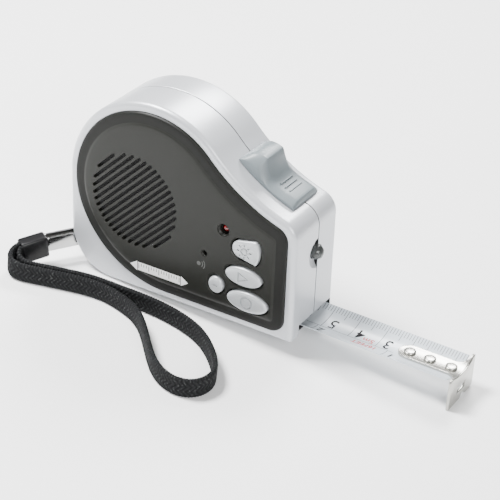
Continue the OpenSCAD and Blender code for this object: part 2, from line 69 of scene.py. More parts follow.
def make_camera():
    level = math.cos(CAM_EL)
    back = Vector((math.sin(CAM_AZ) * level, -math.cos(CAM_AZ) * level, math.sin(CAM_EL)))
    right = Vector((math.cos(CAM_AZ), math.sin(CAM_AZ), 0))
    up = back.cross(right)
    across = math.cos(CAM_ROLL) * right + math.sin(CAM_ROLL) * up
    over = math.cos(CAM_ROLL) * up - math.sin(CAM_ROLL) * right
    turn = Matrix((across, over, back)).transposed().to_4x4()
    data = bpy.data.cameras.new("camera")
    data.sensor_width, data.lens = SENSOR_W, LENS
    data.clip_start, data.clip_end = 0.01, 20
    camera = bpy.data.objects.new("camera", data)
    camera.matrix_world = Matrix.Translation(Vector(CAM_AT) * MM) @ SEAT.to_3x3().to_4x4() @ turn
    bpy.context.scene.collection.objects.link(camera)
    bpy.context.scene.camera = camera


make_camera()

# ---- shader maths -----------------------------------------------------------------------------


class Sock:
    """An output socket or a number that takes part in shader arithmetic."""

    def __init__(self, graph, value):
        self.graph, self.value = graph, value

    def __add__(self, other):
        return self.graph.math("ADD", self, other)

    __radd__ = __add__

    def __mul__(self, other):
        return self.graph.math("MULTIPLY", self, other)

    __rmul__ = __mul__


class Graph:
    """A material's node tree around one Principled shader."""

    def __init__(self, name):
        self.material = bpy.data.materials.new(name)
        self.material.use_nodes = True
        self.tree = self.material.node_tree
        self.shader = next(n for n in self.tree.nodes if n.type == "BSDF_PRINCIPLED")

    def node(self, kind, inputs=(), **settings):
        made = self.tree.nodes.new(kind)
        for key, value in settings.items():
            setattr(made, key, value)
        for key, value in dict(inputs).items():
            self.feed(made.inputs[key], value)
        return made

    def feed(self, socket, value):
        if isinstance(value, Sock):
            value = value.value
        if isinstance(value, bpy.types.NodeSocket):
            self.tree.links.new(value, socket)
        else:
            socket.default_value = value

    def math(self, operation, a, b=0.0):
        made = self.node("ShaderNodeMath", {0: a, 1: b}, operation=operation)
        return Sock(self, made.outputs[0])

    def coords(self):
        return self.node("ShaderNodeTexCoord").outputs["Object"]

    def noise(self, scale, detail=2.0):
        made = self.node("ShaderNodeTexNoise", {"Vector": self.coords(), "Scale": scale, "Detail": detail})
        return Sock(self, made.outputs["Fac"])

    def attribute(self, name):
        return self.node("ShaderNodeAttribute", attribute_name=name)

    def mix(self, factor, a, b):
        made = self.node("ShaderNodeMix", {0: factor, 6: a, 7: b}, data_type="RGBA")
        return made.outputs[2]

    def bump(self, height, depth_mm, strength=0.4):
        inputs = {"Height": height, "Distance": depth_mm * MM, "Strength": strength}
        return self.node("ShaderNodeBump", inputs).outputs["Normal"]

    def set(self, **inputs):
        for key, value in inputs.items():
            self.feed(self.shader.inputs[key.replace("_", " ")], value)
        return self.material


def rgba(r, g, b):
    return (r, g, b, 1.0)


def finish_material(name, low, high, rough, spread=0.06, grain=900, depth=0.004, metallic=0.0, **constants):
    """A surface whose colour, gloss and relief vary a little with a fine grain."""
    g = Graph(name)
    fine, broad = g.noise(grain), g.noise(60.0, 3.0)
    colour = g.mix(fine * 0.5 + broad * 0.5, rgba(*low), rgba(*high))
    return g.set(Base_Color=colour, Roughness=broad * spread + (rough - spread / 2), Metallic=metallic,
                 Normal=g.bump(fine, depth), **constants)


MATERIAL = {
    "silver": finish_material("silver", (0.46, 0.475, 0.5), (0.52, 0.535, 0.56), 0.36, metallic=0.3,
                              grain=2500, depth=0.003, Coat_Weight=0.25, Coat_Roughness=0.25),
    "panel": finish_material("panel", (0.009, 0.0095, 0.0078), (0.012, 0.0125, 0.0104), 0.4, grain=2200,
                             Specular_IOR_Level=0.2),
    "band": finish_material("band", (0.006, 0.0062, 0.0054), (0.008, 0.0083, 0.0073), 0.5, grain=2200,
                            Specular_IOR_Level=0.15),
    "button": finish_material("button", (0.4, 0.42, 0.43), (0.47, 0.485, 0.5), 0.34, metallic=0.35,
                              grain=2500),
    "ink_dark": finish_material("ink_dark", (0.004, 0.004, 0.005), (0.008, 0.008, 0.009), 0.6,
                                Specular_IOR_Level=0.1),
    "ink_red": finish_material("ink_red", (0.42, 0.005, 0.008), (0.5, 0.01, 0.012), 0.6,
                               Specular_IOR_Level=0.1),
    "ink_white": finish_material("ink_white", (0.78, 0.78, 0.76), (0.86, 0.86, 0.84), 0.5),
    "ink_grey": finish_material("ink_grey", (0.05, 0.052, 0.048), (0.07, 0.072, 0.068), 0.5),
    "rubber": finish_material("rubber", (0.2, 0.2, 0.2), (0.28, 0.28, 0.28), 0.75),
    "black": finish_material("black", (0.006, 0.006, 0.0065), (0.012, 0.012, 0.013), 0.5,
                             Specular_IOR_Level=0.2),
    "board": finish_material("board", (0.015, 0.1, 0.035), (0.03, 0.16, 0.06), 0.35),
    "steel": finish_material("steel", (0.5, 0.5, 0.5), (0.62, 0.62, 0.61), 0.28, metallic=1.0, depth=0.002),
    "polished": finish_material("polished", (0.42, 0.42, 0.42), (0.5, 0.5, 0.49), 0.14, 0.04, metallic=1.0,
                                depth=0.001),
    "nickel": finish_material("nickel", (0.42, 0.415, 0.385), (0.5, 0.495, 0.465), 0.26, 0.08, metallic=0.9,
                              grain=500, depth=0.003),
    "lock": finish_material("lock", (0.13, 0.155, 0.165), (0.16, 0.185, 0.197), 0.42, grain=2200),
    "blade": finish_material("blade", (0.492, 0.537, 0.583), (0.558, 0.607, 0.649), 0.3, 0.08, grain=400,
                             depth=0.002, Coat_Weight=0.4, Coat_Roughness=0.15),
    "white": finish_material("white", (0.7, 0.7, 0.67), (0.8, 0.8, 0.77), 0.5),
    "lead": finish_material("lead", (0.35, 0.02, 0.02), (0.45, 0.03, 0.03), 0.4),
    "red": finish_material("red", (0.12, 0.002, 0.003), (0.18, 0.004, 0.005), 0.08, 0.03, depth=0.001,
                           Coat_Weight=1.0),
    "clear": finish_material("clear", (0.62, 0.65, 0.64), (0.68, 0.71, 0.7), 0.05, 0.03, depth=0.001,
                             Transmission_Weight=0.95, IOR=1.45),
    "keeper": finish_material("keeper", (0.004, 0.004, 0.0045), (0.007, 0.007, 0.008), 0.32, grain=1200,
                              Specular_IOR_Level=0.3),
}


def webbing_material():
    """Dark threads with paler flecks, and painted shade between the threads, where the colour is darker. The
    weave attribute is 1 on a raised thread and 0 between threads.
    """
    g = Graph("webbing")
    raised = Sock(g, g.attribute("weave").outputs["Fac"])
    fleck = g.math("GREATER_THAN", g.noise(1500.0, 1.0), 0.6)
    thread = g.mix(g.noise(700.0), rgba(0.008, 0.0085, 0.009), rgba(0.018, 0.019, 0.02))
    flecked = g.mix(fleck * raised * 0.5, thread, rgba(0.07, 0.072, 0.072))
    # painted shade: where weave is 0, between the threads, the colour is darker than the threads
    colour = g.mix(raised, rgba(0.003, 0.003, 0.0033), flecked)
    return g.set(Base_Color=colour, Roughness=0.85, Normal=g.bump(g.noise(2600.0, 1.0), 0.03),
                 Specular_IOR_Level=0.12)


MATERIAL["webbing"] = webbing_material()


def gauze_material():
    g = Graph("gauze")
    at = g.node("ShaderNodeSeparateXYZ", {0: g.coords()})
    across = g.math("SINE", Sock(g, at.outputs[0]) * 9000.0)
    along = g.math("SINE", Sock(g, at.outputs[2]) * 9000.0)
    weave = across * along * 0.5 + 0.5
    return g.set(Base_Color=g.mix(weave, rgba(0.004, 0.004, 0.004), rgba(0.02, 0.02, 0.02)), Roughness=0.9,
                 Normal=g.bump(weave, 0.02))


MATERIAL["gauze"] = gauze_material()

# ---- meshes -----------------------------------------------------------------------------------


def mesh_object(name, points, faces, materials, matrix=SEAT):
    """A closed mesh in millimetres, seated in the shared frame in metres."""
    mesh = bpy.data.meshes.new(name)
    mesh.from_pydata([tuple(map(float, p)) for p in points], [], faces)
    made = bpy.data.objects.new(name, mesh)
    bpy.context.scene.collection.objects.link(made)
    for key in materials:
        mesh.materials.append(MATERIAL[key])
    made["seat"] = [v for row in matrix for v in row]
    outward(made)
    return made


def outward(obj):
    b = bmesh.new()
    b.from_mesh(obj.data)
    bmesh.ops.recalc_face_normals(b, faces=b.faces)
    b.to_mesh(obj.data)
    b.free()


def bake_modifiers(obj):
    """Replaces the object's mesh with what its modifiers make."""
    bpy.context.view_layer.update()
    made = bpy.data.meshes.new_from_object(obj.evaluated_get(bpy.context.evaluated_depsgraph_get()))
    obj.modifiers.clear()
    old, obj.data = obj.data, made
    bpy.data.meshes.remove(old)
    return obj


def carve(obj, cutters):
    """Cuts each cutter out of obj, and removes the cutters."""
    for cutter in cutters:
        change = obj.modifiers.new("cut", "BOOLEAN")
        change.operation, change.object, change.solver = "DIFFERENCE", cutter, "EXACT"
    bake_modifiers(obj)
    for cutter in cutters:
        drop(cutter)
    return obj


def bevel(obj, width, segments=3, angle=30):
    change = obj.modifiers.new("bevel", "BEVEL")
    change.width, change.segments, change.limit_method = width, segments, "ANGLE"
    change.angle_limit = math.radians(angle)
    return bake_modifiers(obj)


def drop(obj):
    mesh = obj.data
    bpy.data.objects.remove(obj)
    bpy.data.meshes.remove(mesh)


def join(name, objs):
    """One object out of several, materials kept."""
    b = bmesh.new()
    keys = []
    for obj in objs:
        mesh = obj.data
        slots = []
        for m in mesh.materials:
            if m not in keys:
                keys.append(m)
            slots.append(keys.index(m))
        start = len(b.faces)
        b.from_mesh(mesh)
        b.faces.ensure_lookup_table()
        for face in b.faces[start:]:
            face.material_index = slots[min(face.material_index, len(slots) - 1)] if slots else 0
    mesh = bpy.data.meshes.new(name)
    b.to_mesh(mesh)
    b.free()
    made = bpy.data.objects.new(name, mesh)
    for m in keys:
        mesh.materials.append(m)
    made["seat"] = list(objs[0]["seat"])
    bpy.context.scene.collection.objects.link(made)
    for obj in objs:
        drop(obj)
    return made


def seat(obj, smooth_angle=35):
    """Puts a finished mesh in its place in the shared frame, in metres, and smooths it up to that angle."""
    v = list(obj["seat"])
    matrix = Matrix([v[i:i + 4] for i in range(0, 16, 4)])
    obj.data.transform(Matrix.Scale(MM, 4) @ matrix)
    del obj["seat"]
    obj.data.shade_smooth()
    obj.data.set_sharp_from_angle(angle=math.radians(smooth_angle))
    return obj


def place(obj, body, slot, *nodes, smooth_angle=35):
    seat(obj, smooth_angle)
    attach(obj, body)
    if nodes:
        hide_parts(*nodes)
    return obj


def loft(name, rings, materials, ring_materials=None, matrix=SEAT, close_round=False):
    """A closed mesh through rings of equally many points, with flat ends unless it closes on itself."""
    n = len(rings[0])
    points = np.concatenate([np.asarray(r, float) for r in rings])
    faces = []
    bands = len(rings) if close_round else len(rings) - 1
    for i in range(bands):
        a, b = i * n, (i + 1) % len(rings) * n
        faces += [(a + k, a + (k + 1) % n, b + (k + 1) % n, b + k) for k in range(n)]
    if not close_round:
        faces += [tuple(range(n))[::-1], tuple(range((len(rings) - 1) * n, len(rings) * n))]
    made = mesh_object(name, points, faces, materials, matrix)
    if ring_materials:
        for i, face in enumerate(made.data.polygons):
            if i < bands * n:
                face.material_index = ring_materials.get(i // n, 0)
    return made


def xz(outline, y):
    """An outline drawn in XZ, as points at that Y."""
    outline = np.asarray(outline, float)
    return np.column_stack([outline[:, 0], np.full(len(outline), float(y)), outline[:, 1]])


def arc(c, r, a0, a1, n, skip=0):
    return [np.asarray(c, float) + r * unit(a) for a in np.linspace(a0, a1, n)[skip:]]


def corner_c(x, r, hollow):
    """Centre of a corner of radius r at x that meets the hollow of the waist."""
    return np.array([x, WAIST_C[1] - math.sqrt((hollow + r) ** 2 - (WAIST_C[0] - x) ** 2)])


def heading(a, b):
    return math.degrees(math.atan2(b[1] - a[1], b[0] - a[0]))


def case_outline(d):
    """The case's outline, moved in by d."""
    nose, toe = corner_c(FRONT_X - NOSE_R, NOSE_R, WAIST_R), max(TOE_R - d, 0.2)
    turn = heading(nose, WAIST_C)
    return np.array(arc(HEEL_C, HEEL_R - d, 180, 270, 26)
                    + arc((FRONT_X - d - toe, d + toe), toe, 270, 360, 7)
                    + arc(nose, NOSE_R - d, 0, turn, 16)
                    + arc(WAIST_C, WAIST_R + d, turn + 180, WAIST_ANGLE + 180, 30, 1)
                    + arc(REEL_C, ROUND_R - d, WAIST_ANGLE, 180, 64, 1))


RIM, PANEL_CORNER, SWEEP_R = 2.9, 5.0, 36.0


def panel_outline(d):
    """The dark panel's outline, moved in by d."""
    r, x, hollow = ROUND_R - RIM, FRONT_X - RIM - PANEL_CORNER, WAIST_R + RIM
    top = corner_c(x, PANEL_CORNER, hollow)
    turn, drop_z = heading(top, WAIST_C), RIM + SWEEP_R - AXIS_H
    low = np.array([math.sqrt((SWEEP_R - r) ** 2 - drop_z ** 2), RIM + SWEEP_R])
    meet = heading(low, REEL_C) + 360
    return np.array(arc(REEL_C, r - d, 180, meet, 12) + arc(low, SWEEP_R - d, meet, 270, 24, 1)
                    + arc((x, RIM + PANEL_CORNER), PANEL_CORNER - d, 270, 360, 12)
                    + arc(top, PANEL_CORNER - d, 0, turn, 12)
                    + arc(WAIST_C, hollow + d, turn + 180, WAIST_ANGLE + 180, 30, 1)
                    + arc(REEL_C, r - d, WAIST_ANGLE, 178, 60, 1))


def oval(c, a, b, n=64):
    turns = np.arange(n) * 2 * math.pi / n
    return np.array([(c[0] + a * math.cos(t), c[1] + b * math.sin(t)) for t in turns])


def disc(c, r, n=48):
    return oval(c, r, r, n)


def prism(name, outline, y0, y1, materials=("black",)):
    return loft(name, [xz(outline, y0), xz(outline, y1)], materials)


def box(name, low, high, materials=("black",), matrix=SEAT):
    corners = ((low[0], low[1]), (high[0], low[1]), (high[0], high[1]), (low[0], high[1]))
    return loft(name, [[(x, y, z) for x, y in corners] for z in (low[2], high[2])], materials, matrix=matrix)


def turned(name, profile, origin, axis, materials, n=48, matrix=SEAT):
    """A solid of revolution. The profile is (radius, distance along the axis), from one end to the other."""
    axis = Vector(axis).normalized()
    side = axis.orthogonal().normalized()
    other = axis.cross(side)
    rings = []
    for r, h in profile:
        rings.append([Vector(origin) + axis * h + (side * math.cos(t) + other * math.sin(t)) * max(r, 0.01)
                      for t in np.arange(n) * 2 * math.pi / n])
    return loft(name, rings, materials, matrix=matrix)


# ---- wrist strap ------------------------------------------------------------------------------

STRAP_W, STRAP_T = 7.0, 1.8
STRAP_ROUTE = np.array([
    (-40.9, -21.2, 7.7), (-42.5, -23.8, 7.3), (-44.2, -26.6, 6.8), (-45.3, -29.4, 5.8), (-44.8, -32, 4.8),
    (-42.4, -33.8, 4), (-38.8, -33.7, 3.6), (-34.6, -32.3, 3.5), (-30, -30.7, 3.5), (-25, -29, 3.5),
    (-20, -27.4, 3.5), (-15, -26.2, 3.5), (-10, -25.8, 3.5), (-5, -26.4, 3.5), (0, -27.6, 3.5),
    (4, -29.2, 3.5), (8, -31.8, 3.5), (12, -35.4, 3.5), (16, -39.6, 3.5), (20, -43.8, 3.5),
    (24, -47.6, 3.5), (28, -50.4, 3.5), (32, -52, 3.5), (36, -52.4, 3.5), (39.8, -51, 3.5),
    (42.2, -48, 3.5), (43, -44, 3.5), (42, -40, 3.5), (39.4, -36, 3.5), (36, -32.4, 3.5),
    (32, -29, 3.5), (28, -26.4, 3.5), (24, -24.6, 3.5), (19, -23.2, 3.5), (14, -22.4, 3.5),
    (9, -22, 3.5), (4, -22, 3.5), (-1, -22.3, 3.5), (-6, -22.8, 3.5), (-11, -23.2, 3.5),
    (-16, -23.8, 3.5), (-21, -25, 3.5), (-26, -26.7, 3.5), (-31, -28.4, 3.5), (-35.4, -29.9, 3.5),
    (-39, -31, 3.7), (-41.6, -30.8, 4.4), (-43, -29.2, 5.6), (-42.6, -27.6, 6.6), (-40.9, -24.8, 7.2),
    (-39.2, -22.2, 7.7)])


def smooth_line(route, step):
    """A smooth curve through the route's points, with a point every step."""
    fine = []
    padded = np.vstack([2 * route[0] - route[1], route, 2 * route[-1] - route[-2]])
    for i in range(1, len(padded) - 2):
        a, b, c, d = padded[i - 1:i + 3]
        for t in np.linspace(0, 1, 12, endpoint=False):
            fine.append(0.5 * (2 * b + (c - a) * t + (2 * a - 5 * b + 4 * c - d) * t ** 2
                               + (3 * b - a - 3 * c + d) * t ** 3))
    fine = np.array(fine + [route[-1]])
    reach = np.concatenate([[0], np.cumsum(np.linalg.norm(np.diff(fine, axis=0), axis=1))])
    marks = np.linspace(0, reach[-1], int(reach[-1] / step) + 1)
    return np.column_stack([np.interp(marks, reach, fine[:, k]) for k in range(3)]), reach[-1]


def webbing_section(n_side=22, n_edge=5):
    """Points round the webbing's section, each as (place across the width, place through the thickness)."""
    half_w, half_t = STRAP_W / 2, STRAP_T / 2
    flat, turns = half_w - half_t * 0.8, np.linspace(0, math.pi, n_edge)[1:-1]
    around = [(w, half_t) for w in np.linspace(-flat, flat, n_side)]
    around += [(flat + half_t * 0.8 * math.sin(a), half_t * math.cos(a)) for a in turns]
    around += [(w, -half_t) for w in np.linspace(flat, -flat, n_side)]
    around += [(-flat - half_t * 0.8 * math.sin(a), -half_t * math.cos(a)) for a in turns]
    return np.array(around)


def make_strap():
    line, length = smooth_line(STRAP_ROUTE, 0.27)
    section = webbing_section()
    ahead = np.gradient(line, axis=0)
    side = np.column_stack([ahead[:, 1], -ahead[:, 0], np.zeros(len(line))])
    side /= np.linalg.norm(side, axis=1)[:, None]
    points, weave = [], []
    s = np.linspace(0, length, len(line))
    for i, centre in enumerate(line):
        # a herringbone: the lean of the threads turns over at every quarter of the width
        across = section[:, 0] / STRAP_W
        fold = np.abs((across * 4 + 0.5) % 2 - 1)
        thread = 0.5 + 0.5 * np.sin(2 * math.pi * (s[i] / 1.5 + fold * 1.1))
        edge = 0.5 + 0.5 * np.sin(2 * math.pi * s[i] / 0.95)
        near_edge = np.clip((np.abs(across) - 0.38) / 0.06, 0, 1)
        height = thread ** 0.7 * (1 - near_edge) + edge * near_edge
        thick = section[:, 1] - np.sign(section[:, 1]) * 0.16 * (1 - height) * (np.abs(section[:, 1]) > 0.1)
        wide = section[:, 0] - np.sign(section[:, 0]) * 0.14 * (1 - height) * near_edge
        points.append(centre + np.outer(thick, side[i]) + np.outer(wide, (0, 0, 1)))
        weave.append(height)
    strap = loft("strap_webbing", points, ["webbing"], matrix=Matrix.Identity(4))
    # the weave attribute also carries the painted shade between the threads, in the webbing material
    made = strap.data.attributes.new("weave", "FLOAT", "POINT")
    made.data.foreach_set("value", np.concatenate(weave).astype(np.float32))
    place(strap, "case", "strap_webbing", "wrist_strap", smooth_angle=60)
    return strap, line, length


strap, strap_line, strap_length = make_strap()

KEEPER = (Matrix.Translation((-41.4, -23.8, 7.3)) @ Matrix.Rotation(math.radians(238), 4, "Z")
          @ Matrix.Rotation(math.radians(9), 4, "Y"))


def make_keeper():
    """A short sleeve with rounded long edges and ends, open at one end for the ring and the webbing."""
    end, half_y, half_z, r, n = 4.5, 1.55, 3.1, 0.9, 6
    corners = ((half_y, half_z), (-half_y, half_z), (-half_y, -half_z), (half_y, -half_z))
    around = np.array([p for i, corner in enumerate(corners) for p in arc(corner, r, 90 * i, 90 * i + 90, n)])
    lip = ((-end, 0.93), (0.25 - end, 0.985), (0.7 - end, 1))
    profile = lip + tuple((-x, f) for x, f in reversed(lip))
    rings = [np.column_stack([np.full(len(around), x), around * f]) for x, f in profile]
    keeper = loft("strap_sleeve", rings, ["keeper"], matrix=KEEPER)
    hollow = box("hollow", (-2.8, -1.98, -3.62), (6, 1.98, 3.62), matrix=KEEPER)
    carve(keeper, [hollow])
    return place(keeper, "case", "keeper_black", "strap_keeper")


keeper = make_keeper()
[tuple(p * MM) for p in strap_line[::4]]

# ---- case -------------------------------------------------------------------------------------

NEAR, FAR, PART = -13.3, 13.3, 1.3
BLADE_Y, BLADE_Z, DIP = 3.0, 0.75, math.radians(1)
LAMP_Z, LAMP_R = 27.3, 2.5
BLADE_AT = Matrix.Translation((FRONT_X, BLADE_Y, BLADE_Z)) @ Matrix.Rotation(DIP, 4, "Y")
SCREWS = [(-23.1, 6.27), (49.7, 35.2), (49.6, 8.8)]
CELL_AT, CELL_R = (34, 13), 5.8
LOCK_Y, LOCK_HALF = 1.5, 7.6
RING_AT, RING_Z, RING_TURN = (-28.0, -2.0), 9.6, 58


EDGE_R, WALL, SIDE_WALL = 1.7, 1.8, 1.3


def sector(r0, r1, a0, a1, n=16):
    """A stretch of ring round the centre of the waist's hollow."""
    return np.array(arc(WAIST_C, r1, a0, a1, n) + arc(WAIST_C, r0, a1, a0, n))


def shell_half(name, outer_y, wall_sign):
    """Half of the case, with a rounded outer edge and a fine groove along the joint."""
    groove = ((1.3, 0), (0.5, 0), (0.45, 0.17), (0.08, 0.19), (0, 0.3))
    rings = [xz(case_outline(d), PART + wall_sign * y) for d, y in groove]
    for t in np.linspace(0, math.pi / 2, 7):
        y = outer_y - wall_sign * EDGE_R * (1 - math.sin(t))
        rings.append(xz(case_outline(EDGE_R * (1 - math.cos(t))), y))
    half = loft(name, rings, ["silver", "black"], {0: 1, 1: 1, 2: 1})
    hollow = prism("hollow", case_outline(WALL), *sorted((PART - wall_sign, outer_y - wall_sign * SIDE_WALL)))
    lamp = (FRONT_X, PART, LAMP_Z)
    cuts = [hollow, box("mouth", (FRONT_X - 1.9, -8.4, -2), (FRONT_X + 5, 12.3, 4.7)),
            box("channel", (-74, -9.1, -0.15), (6, 9.4, 2.85), matrix=SEAT @ BLADE_AT),
            turned("lamp_hole", [(LAMP_R + 0.2, -9), (LAMP_R + 0.2, 3)], lamp, (1, 0, 0), ["black"], 64),
            prism("lock_slot", sector(WAIST_R - 3, WAIST_R + 3, 231.2, 248.6), LOCK_Y - 6, LOCK_Y + 6)]
    return half, cuts


def in_frame(obj, matrix):
    """Brings a shape drawn in another frame into the level frame, so that cuts meet."""
    v = list(obj["seat"])
    own = Matrix([v[i:i + 4] for i in range(0, 16, 4)])
    obj.data.transform(matrix.inverted() @ own)
    obj["seat"] = [x for row in matrix for x in row]
    return obj


def make_case():
    near, cuts = shell_half("case_near", NEAR, -1)
    dish = [(LAMP_R + 0.5, -1.3), (3.6, -1.15), (4.5, -0.8), (5.2, -0.25), (5.5, 0.1), (5.5, 3)]
    cuts.append(turned("dish", dish, (FRONT_X, PART, LAMP_Z), (1, 0, 0), ["silver"], 64))
    cuts.append(prism("panel_seat", panel_outline(-0.12), NEAR - 2, NEAR + 2))
    cuts.append(box("ring_slot", (-40, -12.4, RING_Z - 2.9), (-25.8, 0.3, RING_Z + 2.9)))
    near = carve(near, [in_frame(c, SEAT) for c in cuts])
    place(near, "case", "silver_plastic", "front_case")

    far, cuts = shell_half("case_far", FAR, 1)
    screw_seat = [(2.25, -1.9), (2.25, -0.2), (2.6, 0.1), (2.6, 2)]
    cuts += [turned("screw_seat", screw_seat, (x, FAR, z), (0, 1, 0), ["black"]) for x, z in SCREWS]
    tight, wide = CELL_R + 0.6, CELL_R + 0.95
    door_seat = [(tight, -3), (tight, -0.25), (wide, 0.1), (wide, 2)]
    cuts.append(turned("door_seat", door_seat, (CELL_AT[0], FAR, CELL_AT[1]), (0, 1, 0), ["black"], 64))
    far = carve(far, [in_frame(c, SEAT) for c in cuts])
    place(far, "case", "silver_plastic", "rear_case")


make_case()

# ---- control panel ----------------------------------------------------------------------------

PANEL_Y, PANEL_BACK = -14.5, -12.35
GRILLE_AT, GRILLE_R, GRILLE_PITCH, GRILLE_SLOT, GRILLE_TURN = (-6.0, 33.9), 16.8, 2.0, 1.0, 44
LED_AT, MIC_AT = (28.3, 34.4), (21.4, 23.6)
PLAY_AT, RECORD_AT, MESSAGE_AT, LIGHT_AT = (36.3, 19.8), (38.0, 11.0), (26.1, 13.6), (37.2, 29.7)


def light_outline(d):
    c = np.array(LIGHT_AT)
    return np.array(arc(c + (-2.2, 0), 3.1 - d, 100, 262, 22) + arc(c + (3.3, -3.5), 0.6 - d / 2, 270, 340, 6)
                    + arc(c + (-4.3, 0.3), 9 - d, -23, 23, 14) + arc(c + (3.2, 3.8), 0.6 - d / 2, 20, 100, 6))


# each button's outline, moved in by d, and its middle
BUTTONS = {
    "light": (light_outline, LIGHT_AT),
    "play": (lambda d: oval(PLAY_AT, 6.7 - d, 3.3 - d), PLAY_AT),
    "record": (lambda d: oval(RECORD_AT, 7.5 - d, 3.6 - d), RECORD_AT),
    "message": (lambda d: oval(MESSAGE_AT, 2.7 - d, 3.0 - d), MESSAGE_AT),
}


def stadium(c, half, r, angle, n=10):
    """A slot's outline with round ends, its middle line turned by that angle."""
    c, along = np.asarray(c, float), unit(angle)
    return np.array(arc(c + along * half, r, angle - 90, angle + 90, n)
                    + arc(c - along * half, r, angle + 90, angle + 270, n))


def grille_cutters():
    cutters, count, r = [], int(GRILLE_R // GRILLE_PITCH), GRILLE_SLOT / 2
    for i in range(-count, count + 1):
        off = i * GRILLE_PITCH
        half = math.sqrt(GRILLE_R ** 2 - off ** 2) - GRILLE_SLOT
        c = np.array(GRILLE_AT) + unit(GRILLE_TURN + 90) * off
        rings = [xz(stadium(c, half, r + wider, GRILLE_TURN), y)
                 for wider, y in ((0, PANEL_BACK + 1), (0, PANEL_Y + 0.1), (0.1, PANEL_Y - 0.5))]
        cutters.append(loft("slot", rings, ["black"]))
    return cutters


def make_panel():
    middle = np.array([14.0, 32.0])
    profile = [(1.2, PANEL_BACK), (0, PANEL_BACK + 0.02), (0, -13.5), (0.12, -13.85), (0.4, -14.12),
               (0.85, -14.24), (2.0, -14.28), (3.2, -14.3), (3.6, -14.33), (3.95, -14.42), (4.25, -14.52),
               (4.6, -14.58)]
    rings = [xz(panel_outline(d), y) for d, y in profile]
    inner = panel_outline(4.6)
    for f, y in ((0.95, -14.64), (0.86, -14.7), (0.7, -14.76), (0.45, -14.8), (0.2, -14.81)):
        rings.append(xz(middle + (inner - middle) * f, y))
    panel = loft("control_panel", rings, ["panel", "band"], {i: 1 for i in range(3, 8)})
    cutters = grille_cutters()
    for shape, _ in BUTTONS.values():
        cutters.append(loft("well", [xz(shape(-0.22), PANEL_BACK + 1), xz(shape(-0.22), -13.9),
                                     xz(shape(-0.95), -14.75), xz(shape(-0.95), -16)], ["black"]))
    led_hole = [(1.75, 3), (1.75, 0.6), (2.25, 0.1), (2.25, -1)]
    mic_hole = [(0.8, 3), (0.8, 0.3), (1.15, -0.1), (1.15, -1)]
    for (x, z), profile in ((LED_AT, led_hole), (MIC_AT, mic_hole)):
        cutters.append(turned("hole", profile, (x, PANEL_Y, z), (0, 1, 0), ["black"]))
    carve(panel, cutters)
    place(panel, "case", "panel_black", "front_panel", smooth_angle=28)


make_panel()

PRINT_Y, PRINT_T = -14.84, 0.05


def inlay(outline, y, key):
    """A flat printed mark on the panel, its face at y."""
    return prism("mark", outline, y, y + PRINT_T, [key])


def bar_outline(a, b, width):
    """A straight stroke from a to b."""
    a, b = np.asarray(a, float), np.asarray(b, float)
    side = (b - a) / np.linalg.norm(b - a) @ np.array([[0, 1], [-1, 0]]) * width / 2
    return np.array([a - side, b - side, b + side, a + side])


def make_panel_print():
    # a plain white scale between two arrow ends
    low, high, left, right = 8.6, 11.6, -4.4, 12.4
    mid = (low + high) / 2
    parts = [inlay([(left, low), (right, low), (right, high), (left, high)], PRINT_Y, "ink_white")]
    for base, tip in ((left - 0.3, left - 3.0), (right + 0.3, right + 3.0)):
        points = [(base, low - 0.3), (tip, mid), (base, high + 0.3)]
        parts.append(inlay(points if tip > base else points[::-1], PRINT_Y, "ink_white"))
    for i in range(17):
        x, tall = left + 0.4 + i, 2.0 if i % 4 == 0 else 1.1
        stroke = bar_outline((x, high - 0.3), (x, high - 0.3 - tall), 0.22)
        parts.append(inlay(stroke, PRINT_Y - 0.02, "ink_dark"))
    # a small sound mark under the microphone
    c = np.array([19.4, 19.3])
    parts.append(inlay(disc(c, 0.75, 24), PRINT_Y, "ink_grey"))
    for r in (1.5, 2.3):
        wave = arc(c, r + 0.16, -40, 40, 10) + arc(c, r - 0.16, 40, -40, 10)
        parts.append(inlay(wave, PRINT_Y, "ink_grey"))
    place(join("panel_print", parts), "case", "panel_black")


make_panel_print()


def ring_cutter(c, r, width, y0, y1):
    """A ring-shaped cutter of that mean radius and width."""
    outer, inner = disc(c, r + width / 2), disc(c, r - width / 2)
    rings = [xz(outer, y0), xz(outer, y1), xz(inner, y1), xz(inner, y0)]
    return loft("cut", rings, ["black"], close_round=True)


def glyph_cutters(name, c):
    """What is sunk into a button's face: rays, a play sign, a record ring or a dash."""
    c = np.array(c)
    deep, out = -15.1, -17
    if name == "light":
        c = c - (0.6, 0.1)
        yield ring_cutter(c, 1.1, 0.45, deep, out)
        for k in range(8):
            yield prism("cut", bar_outline(c + 1.75 * unit(45 * k), c + 2.7 * unit(45 * k), 0.48), deep, out)
    elif name == "play":
        corners = [c + (-1.7, -1.8), c + (2.2, 0), c + (-1.7, 1.8)]
        sunk = [c + (corner - c) * 0.72 for corner in corners]
        rings = [xz(corners, deep), xz(corners, out), xz(sunk, out), xz(sunk, deep)]
        yield loft("cut", rings, ["black"], close_round=True)
    elif name == "record":
        yield ring_cutter(c, 2.0, 0.55, deep, out)
    else:
        yield prism("cut", stadium(c, 0.7, 0.35, 0), deep, out)


def make_buttons():
    for name, (shape, c) in BUTTONS.items():
        rings = [xz(shape(0), y) for y in (-12.6, -14.7)]
        rings += [xz(shape(d), y) for d, y in ((0.06, -14.95), (0.25, -15.2), (0.55, -15.36), (0.95, -15.44))]
        inner, middle = shape(0.95), np.array(c, float)
        crown = ((0.8, -15.47), (0.5, -15.49), (0.2, -15.5))
        rings += [xz(middle + (inner - middle) * f, y) for f, y in crown]
        cap = loft(name + "_cap", rings, ["button"])
        carve(cap, list(glyph_cutters(name, c)))
        place(cap, name, "button_silver", name + "_button", smooth_angle=30)


make_buttons()


